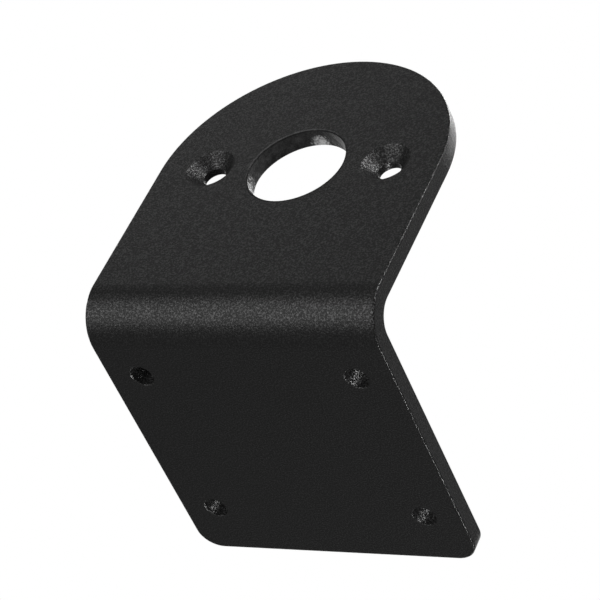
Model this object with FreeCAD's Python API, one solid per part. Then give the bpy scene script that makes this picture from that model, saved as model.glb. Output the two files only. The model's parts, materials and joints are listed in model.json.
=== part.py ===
import FreeCAD, Part
import math
import os

# Motor mounting bracket: one sheet, cut to outline, pierced, countersunk, folded once and coated.
# All lengths are in millimetres. X runs along the bend, Y from the upright motor leg towards the
# free end of the base leg, and Z up. The origin is the centre of the four base holes, on the
# mounting face.

# The sheet and its fold
thickness = 2.5
inner_bend_radius = 3.0
edge_radius = 0.2  # the outline's cut edges, eased and then coated
hole_edge_break = 0.1  # the deburred rims of the plain holes
deburr_angle = 90.0

# The motor's front: a round boss and two countersunk screws, level with the motor's axis
axis_height = 26.5  # above the mounting face
pilot_diameter = 13.0
screw_spacing = 25.0
screw_hole_diameter = 3.1
countersink_diameter = 6.6
countersink_angle = 100.0
screw_side_margin = 7.5  # from a screw's axis to the side of the sheet

# The base leg
base_length = 42.0  # from the motor leg's outer face to the free end
base_corner_radius = 3.0
base_hole_diameter = 3.1
base_hole_side_margin = 5.0  # from a hole's axis to the side of the sheet
base_hole_end_margin = 7.7  # from the far row of holes to the free end
base_hole_bend_margin = 4.8  # from the near row of holes to the end of the bend

# Worked out from the sizes above
outer_bend_radius = inner_bend_radius + thickness
width = screw_spacing + 2 * screw_side_margin
half_width = width / 2
base_hole_x = half_width - base_hole_side_margin
near_row = outer_bend_radius + base_hole_bend_margin
far_row = base_length - base_hole_end_margin

X = FreeCAD.Vector(1, 0, 0)
Y = FreeCAD.Vector(0, 1, 0)
Z = FreeCAD.Vector(0, 0, 1)

# The tools that pierce the sheet start and stop this far outside it
overshoot = 1.0

# Two faces that meet at more than this many degrees make an edge that gets eased
sharp_angle = 20.0

# Until the last step Y is measured from the motor leg's outer face


def face_of(edges):
    """A flat face from edges that join end to end."""
    return Part.Face(Part.Wire(edges))


def line(start, end):
    return Part.makeLine(start, end)


def arc(centre, radius, start, end, across, up):
    """An arc about centre, from start to end in degrees, turning from across towards up."""
    angles = (start, (start + end) / 2, end)
    points = []
    for angle in angles:
        turn = math.radians(angle)
        points.append(centre + across * (radius * math.cos(turn)) + up * (radius * math.sin(turn)))
    return Part.Arc(*points).toShape()


def motor_leg():
    """The upright leg: straight sides, and a round end about the motor's axis."""
    bottom = outer_bend_radius
    left = -half_width
    right = half_width
    outline = face_of([
        line(FreeCAD.Vector(left, 0, bottom), FreeCAD.Vector(right, 0, bottom)),
        line(FreeCAD.Vector(right, 0, bottom), FreeCAD.Vector(right, 0, axis_height)),
        arc(FreeCAD.Vector(0, 0, axis_height), half_width, 0, 180, X, Z),
        line(FreeCAD.Vector(left, 0, axis_height), FreeCAD.Vector(left, 0, bottom)),
    ])
    return outline.extrude(Y * thickness)


def bend():
    """The fold between the legs: a quarter turn of the sheet about a line along X."""
    centre = FreeCAD.Vector(-half_width, outer_bend_radius, outer_bend_radius)
    outer = arc(centre, outer_bend_radius, 180, 270, Y, Z)
    inner = arc(centre, inner_bend_radius, 180, 270, Y, Z)
    section = face_of([
        outer,
        line(centre - Z * outer_bend_radius, centre - Z * inner_bend_radius),
        inner,
        line(centre - Y * inner_bend_radius, centre - Y * outer_bend_radius),
    ])
    return section.extrude(X * width)


def base_leg():
    """The flat leg, with its two free corners rounded in outline."""
    straight = half_width - base_corner_radius
    shoulder = base_length - base_corner_radius
    near = outer_bend_radius
    left = -half_width
    right = half_width
    outline = face_of([
        line(FreeCAD.Vector(left, near, 0), FreeCAD.Vector(right, near, 0)),
        line(FreeCAD.Vector(right, near, 0), FreeCAD.Vector(right, shoulder, 0)),
        arc(FreeCAD.Vector(straight, shoulder, 0), base_corner_radius, 0, 90, X, Y),
        line(FreeCAD.Vector(straight, base_length, 0), FreeCAD.Vector(-straight, base_length, 0)),
        arc(FreeCAD.Vector(-straight, shoulder, 0), base_corner_radius, 90, 180, X, Y),
        line(FreeCAD.Vector(left, shoulder, 0), FreeCAD.Vector(left, near, 0)),
    ])
    return outline.extrude(Z * thickness)


def folded_sheet():
    """The two legs and the bend as one solid."""
    return motor_leg().fuse([bend(), base_leg()]).removeSplitter().Solids[0]


def hole_through(place, direction, diameter):
    """The tool for a plain hole that goes in at place, on a face of the sheet, along direction."""
    start = place - direction * overshoot
    return Part.makeCylinder(diameter / 2, thickness + 2 * overshoot, start, direction)


def screw_places():
    """Where the two motor screws go in: level with the motor's axis, one on each side of it."""
    axis = FreeCAD.Vector(0, 0, axis_height)
    return [axis + X * (side * screw_spacing / 2) for side in (-1, 1)]


def motor_holes():
    """The pilot hole for the motor's boss, and a screw hole on each side of it."""
    tools = [hole_through(FreeCAD.Vector(0, 0, axis_height), Y, pilot_diameter)]
    for place in screw_places():
        tools.append(hole_through(place, Y, screw_hole_diameter))
    return tools


def flare(place, direction, mouth_diameter, hole_diameter, angle):
    """The tool for a cone-shaped mouth: widest at place, and as narrow as the hole further in."""
    slope = math.tan(math.radians(angle / 2))
    wide = mouth_diameter / 2
    narrow = hole_diameter / 2
    depth = (wide - narrow) / slope
    start = place - direction * overshoot
    return Part.makeCone(wide + overshoot * slope, narrow, overshoot + depth, start, direction)


def countersinks():
    """The flares that let the motor's flat-headed screws sit flush with the outer face."""
    tools = []
    for place in screw_places():
        tools.append(flare(place, Y, countersink_diameter, screw_hole_diameter, countersink_angle))
    return tools


def base_holes():
    """Four plain holes at the corners of a rectangle, deburred on the mounting face."""
    mouth = base_hole_diameter + 2 * hole_edge_break
    tools = []
    for x in (-base_hole_x, base_hole_x):
        for y in (near_row, far_row):
            place = FreeCAD.Vector(x, y, 0)
            tools.append(hole_through(place, Z, base_hole_diameter))
            tools.append(flare(place, Z, mouth, base_hole_diameter, deburr_angle))
    return tools


def normal_beside(face, point):
    """The outward normal of a face at a point on its border."""
    u, v = face.Surface.parameter(point)
    return face.normalAt(u, v)


def sharp_edges(solid):
    """The edges where two faces meet at an angle, not the ones where they flow into each other."""
    found = []
    for edge in solid.Edges:
        faces = solid.ancestorsOfType(edge, Part.Face)
        if len(faces) != 2:
            continue
        middle = edge.valueAt((edge.FirstParameter + edge.LastParameter) / 2)
        angle = normal_beside(faces[0], middle).getAngle(normal_beside(faces[1], middle))
        if math.degrees(angle) > sharp_angle:
            found.append(edge)
    return found


def motor_bracket():
    """The finished bracket, moved so that the middle of the base holes is the origin."""
    blank = folded_sheet()
    blank = blank.makeFillet(edge_radius, sharp_edges(blank))
    pierced = blank.cut(motor_holes())
    deburred = pierced.makeChamfer(hole_edge_break, sharp_edges(pierced))
    bracket = deburred.cut(countersinks() + base_holes()).Solids[0]
    bracket.translate(Y * (-(near_row + far_row) / 2))
    return bracket


os.makedirs("parts", exist_ok=True)
bracket = motor_bracket()
bracket.exportStep("parts/motor_bracket.step")
box = bracket.optimalBoundingBox()
print("motor_bracket:", "valid" if bracket.isValid() else "NOT VALID", len(bracket.Solids), "solid")
print("size", round(box.XLength, 3), round(box.YLength, 3), round(box.ZLength, 3))
print("volume", round(bracket.Volume, 1), "mm3, faces", len(bracket.Faces))
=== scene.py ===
# %% [markdown]
# # A motor mounting bracket in black powder coat
#
# The real thing is one piece of sheet steel. It was cut to outline, pierced, countersunk and
# folded once. Then it was sprayed with dry black powder and baked, so that the powder melted into
# a skin. The shape comes ready made in real size, so this lesson is about the skin. A surface
# that is nearly black shows its form only by what it mirrors, so the small bumps of the coat and
# the places of the lamps carry the whole picture.
#
# The first three lines load the shape. Blender works in metres, and MM turns millimetres into
# them.

# %% Load the bracket
import json
import math

import bpy
from mathutils import Matrix, Vector


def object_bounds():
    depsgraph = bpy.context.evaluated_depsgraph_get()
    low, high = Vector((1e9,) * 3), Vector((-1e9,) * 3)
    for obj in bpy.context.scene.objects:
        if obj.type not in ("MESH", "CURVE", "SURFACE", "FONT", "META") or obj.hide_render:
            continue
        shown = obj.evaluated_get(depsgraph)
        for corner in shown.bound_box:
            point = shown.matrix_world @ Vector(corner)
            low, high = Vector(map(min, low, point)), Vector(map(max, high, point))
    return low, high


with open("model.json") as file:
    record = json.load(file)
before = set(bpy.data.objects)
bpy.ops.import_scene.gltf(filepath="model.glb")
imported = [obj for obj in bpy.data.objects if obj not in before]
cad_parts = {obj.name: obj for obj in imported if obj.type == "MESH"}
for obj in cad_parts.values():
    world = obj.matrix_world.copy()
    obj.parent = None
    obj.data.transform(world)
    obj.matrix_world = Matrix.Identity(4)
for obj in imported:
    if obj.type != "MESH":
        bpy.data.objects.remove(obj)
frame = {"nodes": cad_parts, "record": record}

MM = 0.001
SHAPE_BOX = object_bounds()
bracket = frame["nodes"]["motor_bracket"]
print("bracket box in mm:", [[round(v / MM, 2) for v in corner] for corner in SHAPE_BOX])

# %% [markdown]
# ## Where things are on the bracket
#
# The coat looks a little different in the holes and on the edges than on the flat sheet, so the
# material has to know where they are. The record that comes with the shape states each hole as a
# mount, with its centre, its axis and its sizes. Reading them is better than typing numbers: if
# the bracket is ever made for another motor, the finish follows.

# %% Read the holes from the record
mounts = {mount["name"]: mount for mount in frame["record"]["mounts"]}
motor_axis_mm = Vector(mounts["motor_pilot"]["pos_m"]) / MM
pilot_radius_mm = mounts["motor_pilot"]["dims"]["r_mm"]
motor_face_mm = mounts["motor_face"]["pos_m"][1] / MM
motor_screws = mounts["motor_screws"]["dims"]
base_holes = mounts["base_holes"]["dims"]
half_width_mm = SHAPE_BOX[1][0] / MM
outer_face_mm = SHAPE_BOX[0][1] / MM
print("motor axis at", [round(v, 2) for v in motor_axis_mm], "mm, pilot radius", pilot_radius_mm)
print("motor screws", motor_screws["spacing_x_mm"], "mm apart, base holes",
      base_holes["spacing_x_mm"], "by", base_holes["spacing_y_mm"])

# %% [markdown]
# ## Two small tools
#
# A colour is given here as an sRGB hex value, but Blender's shaders add up light, so they want
# linear numbers. The first function turns one into the other. The second adds a node, sets its
# options and joins its inputs in one line, which keeps a material readable from top to bottom. An
# input goes by the name that Blender shows, with _ for each space, or by its place in the node,
# counted from _0.

# %% Colours and nodes


def linear(hex_colour):
    """The linear RGBA of an sRGB colour such as "#1a1a1a", by the curve of the sRGB standard."""
    channels = []
    for start in (1, 3, 5):
        value = int(hex_colour[start:start + 2], 16) / 255
        channels.append(value / 12.92 if value <= 0.04045 else ((value + 0.055) / 1.055) ** 2.4)
    return (*channels, 1.0)


def add_node(tree, kind, settings=None, **inputs):
    """Adds a node with its options, and gives each named input a value or a link."""
    node = tree.nodes.new(kind)
    for name, value in (settings or {}).items():
        setattr(node, name, value)
    for name, value in inputs.items():
        key = int(name[1:]) if name[1:].isdigit() else name.replace("_", " ")
        if isinstance(value, bpy.types.NodeSocket):
            tree.links.new(value, node.inputs[key])
        else:
            node.inputs[key].default_value = value
    return node


print("mid grey #808080 is", round(linear("#808080")[0], 3), "in linear light")

# %% [markdown]
# ## Fine-texture powder coat
#
# Black powder coat is a polyester resin with carbon black in it. That makes it a dielectric:
# metallic stays at 0, the IOR is about 1.5, and it has almost no colour of its own. All that the
# eye gets is how it scatters light. The fine-texture kind doesn't run out flat. It sets in a skin
# of tiny bumps a fifth of a millimetre apart, over a slow waviness called orange peel. The bumps
# tilt the surface by about five degrees on average, so a highlight breaks up into grain.
#
# An image of grain would do, but the bracket would have to be unwrapped for it, and it would blur
# close up. Noise in the object's own coordinates needs no unwrapping, and stays sharp. Its scale
# is one over the length of a wave, so it can be given in real millimetres.

# %% The grain of the coat
GRAIN_MM = 0.2  # from bump to bump
GRAIN_HEIGHT_MM = 0.04
GRAIN_DETAIL = 2.0  # finer waves on top of the first
PEEL_MM = 1.8  # one wave of the orange peel
PEEL_HEIGHT_MM = 0.01
SMOOTH_DETAIL = 1.0  # for waves that stay soft, as those of the peel


def fine_grain(tree, in_mm):
    """The small bumps of the coat, from 0 in the pits to 1 on the bumps."""
    bumps = add_node(tree, "ShaderNodeTexNoise", Vector=in_mm,
                     Scale=1 / GRAIN_MM, Detail=GRAIN_DETAIL)
    return bumps.outputs["Fac"]


def orange_peel(tree, in_mm):
    """The slow waviness under the grain, from 0 to 1."""
    waves = add_node(tree, "ShaderNodeTexNoise", Vector=in_mm,
                     Scale=1 / PEEL_MM, Detail=SMOOTH_DETAIL)
    return waves.outputs["Fac"]


for part, height, wave in (("the grain", GRAIN_HEIGHT_MM, GRAIN_MM),
                           ("the orange peel", PEEL_HEIGHT_MM, PEEL_MM)):
    print(part, "is up to", height, "mm high, in waves of", wave, "mm")

# %% [markdown]
# ## Specks in the screw holes
#
# Static charge draws the powder to the sheet, but it reaches badly into a narrow hole. There it
# lands in clumps and sets in coarse bumps, which glint one by one, with dark pits between them.
# The open countersinks have the same, but weaker.
#
# The material finds a hole by the distance from its axis. The holes of one kind are mirror images
# of each other, so the absolute values of the coordinates bring them together, and one hole
# stands for all of its kind. The mask is soft at the rim, so that no line shows where it ends.

# %% The screw holes
COUNTERSINK_RADIUS_MM = 3.3  # measured: the record gives no mount for it
SPECK_FADE_MM = 0.1  # how far from the hole the specks end
CONE_SPECKS = 0.4  # in the countersinks, where 1 is as in the base holes


def in_hole(tree, in_mm, centre_mm, across, radius_mm, fade_mm, level=1.0):
    """level in a round hole, and 0 on the sheet round it. across is 1 on the two axes it spans."""
    centre = Vector(centre_mm) * Vector(across)
    offset = add_node(tree, "ShaderNodeVectorMath", {"operation": "MULTIPLY_ADD"},
                      _0=in_mm, _1=across, _2=-centre)
    reach = add_node(tree, "ShaderNodeVectorMath", {"operation": "LENGTH"}, _0=offset.outputs[0])
    inside = add_node(tree, "ShaderNodeMapRange", Value=reach.outputs["Value"],
                      _1=radius_mm, _2=radius_mm + fade_mm, _3=level, _4=0.0)
    return inside.outputs[0]


def countersinks(tree, in_mm, mirrored):
    """How specked the coat is in the countersinks, up to the face that the motor sits on."""
    screw = (motor_screws["spacing_x_mm"] / 2, 0, motor_axis_mm.z)
    cone = in_hole(tree, mirrored, screw, (1, 0, 1),
                   COUNTERSINK_RADIUS_MM, SPECK_FADE_MM, CONE_SPECKS)
    parts = add_node(tree, "ShaderNodeSeparateXYZ", Vector=in_mm)
    before_motor = add_node(tree, "ShaderNodeMath", {"operation": "LESS_THAN"},
                            _0=parts.outputs["Y"], _1=motor_face_mm - SPECK_FADE_MM)
    cone_only = add_node(tree, "ShaderNodeMath", {"operation": "MULTIPLY"},
                         _0=cone, _1=before_motor.outputs[0])
    return cone_only.outputs[0]


def screw_holes(tree, in_mm):
    """How specked the coat is in the countersinks and in the four base holes."""
    mirrored = add_node(tree, "ShaderNodeVectorMath", {"operation": "ABSOLUTE"}, _0=in_mm)
    corner = (base_holes["spacing_x_mm"] / 2, base_holes["spacing_y_mm"] / 2, 0)
    plain = in_hole(tree, mirrored.outputs[0], corner, (1, 1, 0),
                    base_holes["hole_r_mm"], SPECK_FADE_MM)
    either = add_node(tree, "ShaderNodeMath", {"operation": "MAXIMUM"},
                      _0=countersinks(tree, in_mm, mirrored.outputs[0]), _1=plain)
    return either.outputs[0]


print("specks reach", COUNTERSINK_RADIUS_MM, "mm and", base_holes["hole_r_mm"], "mm from the axes")

# %% [markdown]
# ## Specks along the side edges
#
# Molten powder pulls back from an edge, so the coat is thinner and more broken along the rounded
# edges at the sides. A bright line that runs along such an edge then sparkles, where on a perfect
# coat it would be one even stroke.
#
# Blender could find edges by itself, with a Bevel or a Pointiness node, but those see every edge,
# and the specks belong to the sides alone. Here a formula is enough. Below the motor's axis the
# side lies half the bracket's width from the middle, and above it the round end lies as far from
# the axis. Cutting off the height at the axis with a maximum makes one distance of the two.

# %% The side edges
EDGE_SPECKS = 0.7  # where 1 is as in the base holes
EDGE_WIDTH_MM = 0.3  # the rounded edge, and a little of the face beside it
EDGE_HALF = 0.48  # of that width, to each side of its middle: the flat side itself stays out


def side_edges(tree, in_mm):
    """How specked the coat is along the rounded edges at the sides and round the end."""
    axis = Vector((0, 0, motor_axis_mm.z))
    offset = add_node(tree, "ShaderNodeVectorMath", {"operation": "SUBTRACT"}, _0=in_mm, _1=axis)
    round_end = add_node(tree, "ShaderNodeVectorMath", {"operation": "MAXIMUM"},
                         _0=offset.outputs[0], _1=(-half_width_mm, 0, 0))
    across = add_node(tree, "ShaderNodeVectorMath", {"operation": "MULTIPLY"},
                      _0=round_end.outputs[0], _1=(1, 0, 1))
    reach = add_node(tree, "ShaderNodeVectorMath", {"operation": "LENGTH"}, _0=across.outputs[0])
    band = add_node(tree, "ShaderNodeMath", {"operation": "COMPARE"}, _0=reach.outputs["Value"],
                    _1=half_width_mm - EDGE_WIDTH_MM / 2, _2=EDGE_HALF * EDGE_WIDTH_MM)
    some = add_node(tree, "ShaderNodeMath", {"operation": "MULTIPLY"},
                    _0=band.outputs[0], _1=EDGE_SPECKS)
    return some.outputs[0]


print("edge specks from", round(half_width_mm - EDGE_WIDTH_MM, 2), "mm out to the side")

# %% [markdown]
# ## Runs on the pilot hole's wall
#
# On the wall of the large hole the powder went on thick and sagged while it was molten. The runs
# are far too low to see as shapes, but they bend what the wall mirrors into streaks. So they are
# one more noise, slower than the grain, which is added to the height of the coat on that wall
# alone.
#
# The coat's height is the sum of all its parts in millimetres. One Bump node turns it into tilt.

# %% The height of the coat
SPECK_HEIGHT_MM = 0.06  # the height of the grain where the coat is specked
RUN_MM = 0.9  # one wave
RUN_HEIGHT_MM = 0.2
RUN_FADE_MM = 0.3  # how far from the wall the runs end


def pilot_wall(tree, in_mm):
    """1 on the pilot hole's wall, and 0 on the flat sheet round it."""
    return in_hole(tree, in_mm, motor_axis_mm, (1, 0, 1), pilot_radius_mm, RUN_FADE_MM)


def runs(tree, in_mm):
    """The runs of sagging coat, from 0 to 1."""
    waves = add_node(tree, "ShaderNodeTexNoise", Vector=in_mm,
                     Scale=1 / RUN_MM, Detail=SMOOTH_DETAIL)
    return waves.outputs["Fac"]


def coat_height(tree, in_mm, grain, specks):
    """The coat's height in mm: grain, orange peel, and runs on the pilot hole's wall."""
    bump_height = add_node(tree, "ShaderNodeMix", Factor=specks,
                           _2=GRAIN_HEIGHT_MM, _3=SPECK_HEIGHT_MM)
    grain_height = add_node(tree, "ShaderNodeMath", {"operation": "MULTIPLY"},
                            _0=grain, _1=bump_height.outputs[0])
    with_peel = add_node(tree, "ShaderNodeMath", {"operation": "MULTIPLY_ADD"},
                         _0=orange_peel(tree, in_mm), _1=PEEL_HEIGHT_MM,
                         _2=grain_height.outputs[0])
    run_height = add_node(tree, "ShaderNodeMath", {"operation": "MULTIPLY"},
                          _0=pilot_wall(tree, in_mm), _1=RUN_HEIGHT_MM)
    with_runs = add_node(tree, "ShaderNodeMath", {"operation": "MULTIPLY_ADD"},
                         _0=runs(tree, in_mm), _1=run_height.outputs[0],
                         _2=with_peel.outputs[0])
    return with_runs.outputs[0]


print("runs", RUN_MM, "mm apart on a wall of radius", pilot_radius_mm, "mm")

# %% [markdown]
# ## Painted sheen on the wall, matt rim
#
# The thick coat on that wall came out duller than the rest, and scatters more of the lamps'
# light. That light is painted in as paler patches: painted sheen. The patches could have a noise
# of their own, but they go with the runs, so the same noise serves. On the rim in front it is the
# other way round: little powder stayed there, and the thin coat is matt, so the rim draws no
# bright line round the hole.
#
# Both need to know the place along the hole's axis, so one function splits the wall's mask in two
# at a small depth behind the outer face.

# %% The pilot hole's wall and rim
# a paler colour for the wall: painted sheen, for the light that its coat scatters
PILOT_WALL_PAINTED_SHEEN = "#444444"
PILOT_RIM_MM = 0.15  # how deep the rim reaches
RIM_SPECULAR = 0.05


def pilot_sheen_and_rim(tree, in_mm):
    """How much painted sheen the pilot hole's wall gets, and how matt its front rim is, 0 to 1."""
    wall = pilot_wall(tree, in_mm)
    parts = add_node(tree, "ShaderNodeSeparateXYZ", Vector=in_mm)
    past_rim = add_node(tree, "ShaderNodeMath", {"operation": "GREATER_THAN"},
                        _0=parts.outputs["Y"], _1=outer_face_mm + PILOT_RIM_MM)
    rim = add_node(tree, "ShaderNodeMix", Factor=past_rim.outputs[0], _2=wall, _3=0.0)
    thick = add_node(tree, "ShaderNodeMix", Factor=past_rim.outputs[0], _2=0.0, _3=wall)
    wall_sheen = add_node(tree, "ShaderNodeMath", {"operation": "MULTIPLY"},
                    _0=thick.outputs[0], _1=runs(tree, in_mm))
    return wall_sheen.outputs[0], rim.outputs[0]


print("rim", PILOT_RIM_MM, "mm deep, behind the outer face at y", round(outer_face_mm, 2), "mm")

# %% [markdown]
# ## A chip in the pilot hole
#
# At the top of the hole a flake of coat is missing, perhaps where the part hung on its hook in
# the oven, and pale primer shows. A separate thin piece could be laid there, but the coat is only
# about a tenth of a millimetre thick, so a change of colour and gloss is enough.
#
# The chip is the inside of an ellipsoid round one place on the wall. Noise is added to the
# distance from its middle, which breaks the border into a ragged one. A clean border would look
# like a sticker.

# %% The chip
CHIP_FROM_AXIS_MM = Vector((0.2, 0.8, 6.4))  # from the middle of the pilot hole
CHIP_SIZE_MM = Vector((1.3, 1.3, 0.6))
CHIP_RAG_MM = 0.3  # one wave of the ragged border
CHIP_RAG_DETAIL = 3.0
CHIP_RAGGEDNESS = 1.8  # how far the noise shifts the border, as a share of the chip's size
CHIP_SOFTNESS = 0.7  # how far the primer fades in, likewise


def chip(tree, in_mm):
    """1 where the flake of coat is missing, with a ragged border."""
    middle = motor_axis_mm + CHIP_FROM_AXIS_MM
    offset = add_node(tree, "ShaderNodeVectorMath", {"operation": "SUBTRACT"}, _0=in_mm, _1=middle)
    scaled = add_node(tree, "ShaderNodeVectorMath", {"operation": "DIVIDE"},
                      _0=offset.outputs[0], _1=CHIP_SIZE_MM)
    reach = add_node(tree, "ShaderNodeVectorMath", {"operation": "LENGTH"}, _0=scaled.outputs[0])
    rags = add_node(tree, "ShaderNodeTexNoise", Vector=in_mm,
                    Scale=1 / CHIP_RAG_MM, Detail=CHIP_RAG_DETAIL)
    ragged = add_node(tree, "ShaderNodeMath", {"operation": "MULTIPLY_ADD"},
                      _0=rags.outputs["Fac"], _1=CHIP_RAGGEDNESS, _2=reach.outputs["Value"])
    border = 1 + CHIP_RAGGEDNESS / 2  # the noise is about a half on average
    inside = add_node(tree, "ShaderNodeMapRange", Value=ragged.outputs[0],
                      _1=border - CHIP_SOFTNESS, _2=border, _3=1.0, _4=0.0)
    return inside.outputs[0]


print("chip about", [round(2 * size, 1) for size in CHIP_SIZE_MM], "mm across")

# %% [markdown]
# ## Gloss on the bumps
#
# Bumps and pits have nearly the same black. What sets them apart is how much they mirror. A Bump
# node tilts the surface but throws no shade, while on the real coat each pit is shaded by the
# bumps round it. So the specular level falls in the pits and rises on the bumps, from the 0.5 of
# plain resin, and more so where the coat is specked. Higher bumps would part them too, but they
# would also spread the highlight along the bend.

# %% Pits and bumps
COAT_SPECULAR = (0.14, 0.72)  # in the pits and on the bumps
SPECK_SPECULAR = (0.0, 1.2)  # the same, where the coat is specked
PIT_TO_BUMP = (0.46, 0.74)  # the grain's values where a pit ends and where a bump begins


def gloss(tree, grain, specks):
    """The specular level: low in the pits and high on the bumps, with more contrast in specks."""
    pit = add_node(tree, "ShaderNodeMix", Factor=specks,
                   _2=COAT_SPECULAR[0], _3=SPECK_SPECULAR[0])
    bump = add_node(tree, "ShaderNodeMix", Factor=specks,
                    _2=COAT_SPECULAR[1], _3=SPECK_SPECULAR[1])
    level = add_node(tree, "ShaderNodeMapRange", Value=grain, _1=PIT_TO_BUMP[0], _2=PIT_TO_BUMP[1],
                     _3=pit.outputs[0], _4=bump.outputs[0])
    return level.outputs[0]


print("specular level", COAT_SPECULAR, "from pit to bump, and", SPECK_SPECULAR, "in specks")

# %% [markdown]
# ## Colour and roughness
#
# Carbon black swallows nearly all light. The resin gives back about one per cent of it. The pits
# are painted a trace darker than the bumps, as painted shade. The roughness starts from 0.4, a
# usual value for a satin coat, and lies a little below it to match the picture. It wanders slowly
# with the orange peel, so that no highlight is quite even. The pilot hole's wall gets a paler
# colour as painted sheen over the black, and the primer in the chip comes last and covers both.

# %% Black, dull and bare
COAT_BUMP_TOP = "#191919"
# a trace darker than the bumps: painted shade in the pits
COAT_PIT_SHADED = "#171717"
COAT_ROUGHNESS = (0.34, 0.42)
PRIMER = "#b4b4b4"
PRIMER_ROUGHNESS = 0.7


def coat_colour(tree, grain, wall_sheen, bare):
    """Black with painted shade in pits, painted sheen on the pilot wall, primer in the chip."""
    black = add_node(tree, "ShaderNodeMix", {"data_type": "RGBA"}, Factor=grain,
                     _6=linear(COAT_PIT_SHADED), _7=linear(COAT_BUMP_TOP))
    with_wall_sheen = add_node(tree, "ShaderNodeMix", {"data_type": "RGBA"}, Factor=wall_sheen,
                         _6=black.outputs[2], _7=linear(PILOT_WALL_PAINTED_SHEEN))
    with_chip = add_node(tree, "ShaderNodeMix", {"data_type": "RGBA"}, Factor=bare,
                         _6=with_wall_sheen.outputs[2], _7=linear(PRIMER))
    return with_chip.outputs[2]


def coat_roughness(tree, in_mm, bare):
    """Satin that wanders with the orange peel, and matt where the coat is chipped."""
    satin = add_node(tree, "ShaderNodeMapRange", Value=orange_peel(tree, in_mm),
                     _3=COAT_ROUGHNESS[0], _4=COAT_ROUGHNESS[1])
    with_chip = add_node(tree, "ShaderNodeMix", Factor=bare,
                         _2=satin.outputs[0], _3=PRIMER_ROUGHNESS)
    return with_chip.outputs[0]


print("the black gives back", round(100 * linear(COAT_BUMP_TOP)[0], 1), "per cent of the light")

# %% [markdown]
# ## The coat as one material
#
# Everything meets in one Principled shader. Three materials on three groups of faces would also
# do, but their borders would follow the faces, and on the real bracket it is all one coat.
#
# The function goes from where to how. First comes the place in millimetres, then the grain, and
# then where the coat is specked, matt or missing, and where the wall gets painted sheen. Last
# comes what each of these does to the coat's height, gloss, colour and roughness.

# %% The material
COAT_IOR = 1.5


def new_material(name):
    """An empty node material."""
    material = bpy.data.materials.new(name)
    material.use_nodes = True
    material.node_tree.nodes.clear()
    return material


def powder_coat():
    """Fine-texture black powder coat on steel, with one chip on the pilot hole's wall."""
    material = new_material("fine_texture_black_powder_coat")
    tree = material.node_tree
    place = add_node(tree, "ShaderNodeTexCoord")
    in_mm = add_node(tree, "ShaderNodeVectorMath", {"operation": "SCALE"},
                     Vector=place.outputs["Object"], Scale=1 / MM).outputs[0]
    grain = fine_grain(tree, in_mm)
    specks = add_node(tree, "ShaderNodeMath", {"operation": "MAXIMUM"},
                      _0=screw_holes(tree, in_mm), _1=side_edges(tree, in_mm)).outputs[0]
    wall_sheen, rim = pilot_sheen_and_rim(tree, in_mm)
    bare = chip(tree, in_mm)
    bump = add_node(tree, "ShaderNodeBump", Strength=1.0, Distance=MM,
                    Height=coat_height(tree, in_mm, grain, specks))
    shine = add_node(tree, "ShaderNodeMix", Factor=rim,
                     _2=gloss(tree, grain, specks), _3=RIM_SPECULAR)
    skin = add_node(tree, "ShaderNodeBsdfPrincipled", IOR=COAT_IOR,
                    Base_Color=coat_colour(tree, grain, wall_sheen, bare),
                    Roughness=coat_roughness(tree, in_mm, bare),
                    Specular_IOR_Level=shine.outputs[0], Normal=bump.outputs[0])
    add_node(tree, "ShaderNodeOutputMaterial", Surface=skin.outputs[0])
    return material


coat = powder_coat()
bracket.material_slots[0].material = coat
print(coat.name, "has", len(coat.node_tree.nodes), "nodes")

# %% [markdown]
# ## A floor that is only there from above
#
# The bracket stands on its base leg, but the picture looks up at that leg's underside, through
# where the floor has to be. So the floor is a sheet just under the bracket that is white paper
# for a camera above it and clear for one below it. Geometry's Backfacing tells the two sides
# apart. For the lamps and for reflections it is clear too, so it takes no light away from the
# underside.
#
# Paper that is only lit would come out grey at its far end. Half of its white near the bracket is
# therefore a glow that no lamp changes, and the other half takes the bracket's shadow. Further
# out the glow takes over, and the floor runs into the white background without a line.

# %% The paper
FLOOR_WHITE = "#ffffff"
FLOOR_GLOW = 0.5  # the share of its white that is glow, next to the bracket
FLOOR_FADE = (0.1, 0.4)  # metres out to where that starts to rise, and to where it is all glow


def white_paper():
    """White paper for a camera above it, and clear for everything else."""
    material = new_material("white_paper_floor")
    tree = material.node_tree
    ray = add_node(tree, "ShaderNodeLightPath")
    side = add_node(tree, "ShaderNodeNewGeometry")
    front = add_node(tree, "ShaderNodeMath", {"operation": "SUBTRACT"},
                     _0=1.0, _1=side.outputs["Backfacing"])
    seen = add_node(tree, "ShaderNodeMath", {"operation": "MULTIPLY"},
                    _0=ray.outputs["Is Camera Ray"], _1=front.outputs[0])
    paper = add_node(tree, "ShaderNodeBsdfDiffuse", Color=linear(FLOOR_WHITE))
    glow = add_node(tree, "ShaderNodeEmission", Color=linear(FLOOR_WHITE), Strength=1.0)
    reach = add_node(tree, "ShaderNodeVectorMath", {"operation": "LENGTH"},
                     _0=side.outputs["Position"])
    share = add_node(tree, "ShaderNodeMapRange", Value=reach.outputs["Value"],
                     _1=FLOOR_FADE[0], _2=FLOOR_FADE[1], _3=FLOOR_GLOW, _4=1.0)
    lit = add_node(tree, "ShaderNodeMixShader", _0=share.outputs[0],
                   _1=paper.outputs[0], _2=glow.outputs[0])
    clear = add_node(tree, "ShaderNodeBsdfTransparent")
    both = add_node(tree, "ShaderNodeMixShader", _0=seen.outputs[0], _1=clear.outputs[0],
                    _2=lit.outputs[0])
    add_node(tree, "ShaderNodeOutputMaterial", Surface=both.outputs[0])
    return material


print("the glow's share is", FLOOR_GLOW, "by the bracket and 1 from", FLOOR_FADE[1], "m out")

# %% [markdown]
# ## The sheet of the floor
#
# A Plane from the Add menu would do, but that works on whatever is selected and active just then.
# One face from four corners depends on nothing else. It has no thickness, because nobody sees its
# edge.

# %% The floor
FLOOR_SIZE = 3.0
FLOOR_DROP = 0.3 * MM


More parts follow.
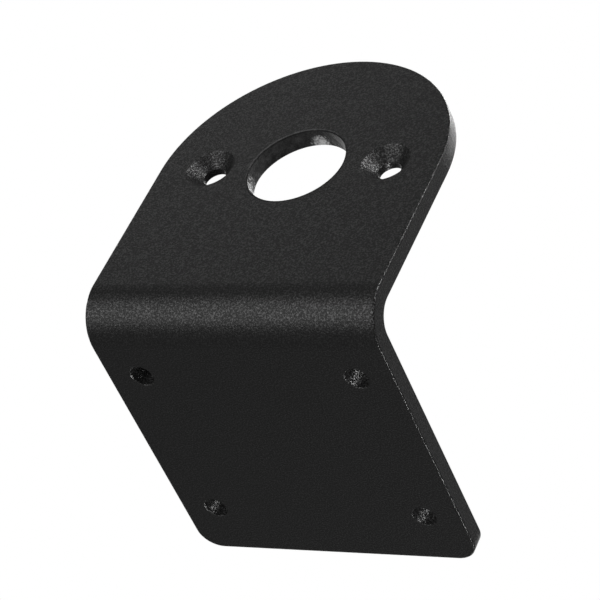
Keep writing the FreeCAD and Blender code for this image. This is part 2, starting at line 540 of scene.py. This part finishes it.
def make_floor():
    """One square face under the bracket."""
    half = FLOOR_SIZE / 2
    corners = [(-half, -half, 0), (half, -half, 0), (half, half, 0), (-half, half, 0)]
    mesh = bpy.data.meshes.new("floor")
    mesh.from_pydata(corners, [], [(0, 1, 2, 3)])
    floor = bpy.data.objects.new("floor", mesh)
    floor.location.z = SHAPE_BOX[0][2] - FLOOR_DROP
    bpy.context.scene.collection.objects.link(floor)
    mesh.materials.append(white_paper())
    return floor


floor = make_floor()
print("floor at", round(floor.location.z / MM, 2), "mm")

# %% [markdown]
# ## The room
#
# The camera sees plain white round the bracket. That comes from Is Camera Ray, where a strength
# of 1 is white, and it puts no light on the object. A glossy coat has to mirror the white as
# well, but not from all sides. In a studio it is a sheet of paper behind the object, and the rest
# of the room is dark. So reflections find white only towards the paper, and it fades out at the
# paper's border. Is Transmission Ray does the same for what shows through glass, and costs
# nothing where there is none.
#
# Everywhere else there is the dim, even light of the room. With white all round, a black coat
# turns grey.

# %% The world
ROOM_LEVEL = 0.1
BACKGROUND = "#ffffff"
BACKDROP = Vector((-0.52, 0.5, 0.69))  # towards the paper, from the bracket
BACKDROP_REACH = (52.0, 38.0)  # degrees from there to where the white starts and is full


def make_world():
    """White where it is seen or mirrored, and a dim room elsewhere."""
    world = bpy.data.worlds.new("white_paper_in_a_dim_room")
    world.use_nodes = True
    tree = world.node_tree
    tree.nodes.clear()
    ray = add_node(tree, "ShaderNodeLightPath")
    mirrored = add_node(tree, "ShaderNodeMath", {"operation": "MAXIMUM"},
                        _0=ray.outputs["Is Glossy Ray"], _1=ray.outputs["Is Transmission Ray"])
    place = add_node(tree, "ShaderNodeTexCoord")
    towards = add_node(tree, "ShaderNodeVectorMath", {"operation": "DOT_PRODUCT"},
                       _0=place.outputs["Generated"], _1=BACKDROP.normalized())
    paper = add_node(tree, "ShaderNodeMapRange", {"interpolation_type": "SMOOTHSTEP"},
                     Value=towards.outputs["Value"],
                     _1=math.cos(math.radians(BACKDROP_REACH[0])),
                     _2=math.cos(math.radians(BACKDROP_REACH[1])))
    mirrored_paper = add_node(tree, "ShaderNodeMath", {"operation": "MULTIPLY"},
                              _0=mirrored.outputs[0], _1=paper.outputs[0])
    seen = add_node(tree, "ShaderNodeMath", {"operation": "MAXIMUM"},
                    _0=ray.outputs["Is Camera Ray"], _1=mirrored_paper.outputs[0])
    room = add_node(tree, "ShaderNodeBackground", Color=linear(BACKGROUND), Strength=ROOM_LEVEL)
    white = add_node(tree, "ShaderNodeBackground", Color=linear(BACKGROUND), Strength=1.0)
    both = add_node(tree, "ShaderNodeMixShader", _0=seen.outputs[0], _1=room.outputs[0],
                    _2=white.outputs[0])
    add_node(tree, "ShaderNodeOutputWorld", Surface=both.outputs[0])
    bpy.context.scene.world = world


make_world()
print("room level", ROOM_LEVEL, "and white paper", BACKDROP_REACH[0], "degrees to each side")

# %% [markdown]
# ## The camera
#
# The picture was taken close up and from below, with the camera rolled, so that the bracket seems
# to hang in the air. The numbers come from fitting the outlines of the sheet and its holes. The
# lens and the distance together set the size in the frame, and the distance alone sets how
# strongly the far end shrinks. A longer lens from further away would draw the sides of each leg
# more nearly parallel.
#
# Azimuth turns the camera round the bracket, elevation lifts it, and roll turns it about its own
# line of sight. The Standard view transform shows each tone as it was worked out. The others are
# made for scenes with a wide range of light, and would turn the white background grey.

# %% Camera
AIM_MM = (8.653, -20.056, 4.895)
AZIMUTH = 40.217
ELEVATION = -38.348
ROLL = 27.3
DISTANCE_MM = 295.643
LENS_MM = 152.144
SENSOR_MM = 36.0


def direction(azimuth, elevation):
    """The direction from the bracket to a camera at these angles, in degrees."""
    turn = math.radians(azimuth)
    rise = math.radians(elevation)
    return Vector((
        math.sin(turn) * math.cos(rise),
        -math.cos(turn) * math.cos(rise),
        math.sin(rise),
    ))


def make_camera():
    """A camera that looks at the aim point, rolled about its line of sight."""
    level = (-to_camera).to_track_quat("-Z", "Y").to_matrix()
    turn = level @ Matrix.Rotation(math.radians(ROLL), 3, "Z")
    place = (Vector(AIM_MM) + to_camera * DISTANCE_MM) * MM
    data = bpy.data.cameras.new("camera")
    data.lens = LENS_MM
    data.sensor_width = SENSOR_MM
    camera = bpy.data.objects.new("camera", data)
    camera.matrix_world = Matrix.Translation(place) @ turn.to_4x4()
    bpy.context.scene.collection.objects.link(camera)
    bpy.context.scene.camera = camera
    return camera


to_camera = direction(AZIMUTH, ELEVATION)
camera = make_camera()
bpy.context.scene.view_settings.view_transform = "Standard"
print("the view is", round(math.degrees(camera.data.angle), 1), "degrees wide")

# %% [markdown]
# ## Lamps, placed by what mirrors them
#
# On a black coat a lamp shows where it is mirrored, and hardly anywhere else. So a lamp for a
# face is placed by asking which way the line of sight goes on after it meets that face, and
# standing the lamp near there. The rougher the coat, the less exact that has to be, and a lamp a
# little beside the place gives a soft sheen with no shape of its own.
#
# The large low softbox draws the highlight along the bend. The panel at the upper left gives the
# motor leg its even grey, and the underside fill does that for the base leg. The two edge strips
# draw the thin lines along the rounded edges, and the right softbox and strip light the
# countersinks. The overhead and back softboxes are for the inner faces, which this picture
# doesn't show.

# %% Lamps
LAMPS = {
    # name: where it stands as seen from the bracket, its distance, its width and its power
    "underside_fill": ((0.45, -0.4, -0.8), 0.5, 0.5, 0.75),
    "upper_left_panel": ((-0.63, -0.38, 0.7), 0.5, 0.22, 0.058),
    "low_left_softbox": ((-0.4, -0.73, -0.55), 0.5, 0.52, 1.85),
    "right_softbox": ((0.56, -0.78, 0.28), 0.5, 0.2, 0.84),
    "upper_right_strip": ((0.45, -0.66, 0.61), 0.5, 0.08, 0.46),
    "right_edge_strip": ((0.66, -0.38, 0.65), 0.5, 0.1, 1.5),
    "low_edge_strip": ((0.42, 0.6, -0.68), 0.5, 0.06, 1.7),
    "overhead_softbox": ((0.0, 0.25, 0.97), 0.6, 0.3, 3.0),
    "back_softbox": ((-0.25, 0.95, 0.15), 0.6, 0.4, 1.0),
}


def add_lamp(name, towards, distance, width, power):
    """A round softbox that faces the middle of the bracket."""
    light = bpy.data.lights.new(name, "AREA")
    light.shape = "DISK"
    light.size = width
    light.energy = power
    lamp = bpy.data.objects.new(name, light)
    outwards = Vector(towards).normalized()
    centre = (SHAPE_BOX[0] + SHAPE_BOX[1]) / 2
    lamp.location = centre + outwards * distance
    lamp.rotation_euler = outwards.to_track_quat("Z", "Y").to_euler()
    bpy.context.scene.collection.objects.link(lamp)
    return lamp


for name, (towards, distance, width, power) in LAMPS.items():
    add_lamp(name, towards, distance, width, power)
print(len(LAMPS), "lamps, from", min(lamp[3] for lamp in LAMPS.values()), "to",
      max(lamp[3] for lamp in LAMPS.values()), "W")

# %% [markdown]
# ## What each face mirrors
#
# The places can be checked without a render. The line of sight is turned round at a face, as at a
# mirror, and the lamp that is nearest to its new way is looked up. For these four faces it stands
# within about fifteen degrees. That is near enough on a coat this rough, and makes the sheen a
# little broader and weaker than an exact place would.

# %% Check the lamps
FACES = {
    # name: which way it faces
    "motor leg": (0, -1, 0),
    "middle of the bend": (0, -1, -1),
    "edge of the motor leg": (1, -1, 0),
    "edge of the base leg": (1, 0, -1),
}


def mirrored_place(facing):
    """Where the line of sight goes on to, after a face that looks this way."""
    normal = Vector(facing).normalized()
    return 2 * normal.dot(to_camera) * normal - to_camera


for face, facing in FACES.items():
    place = mirrored_place(facing)
    angles = {name: place.angle(Vector(lamp[0])) for name, lamp in LAMPS.items()}
    nearest = min(angles, key=angles.get)
    print(face, "mirrors", nearest, "to", round(math.degrees(angles[nearest])), "degrees")
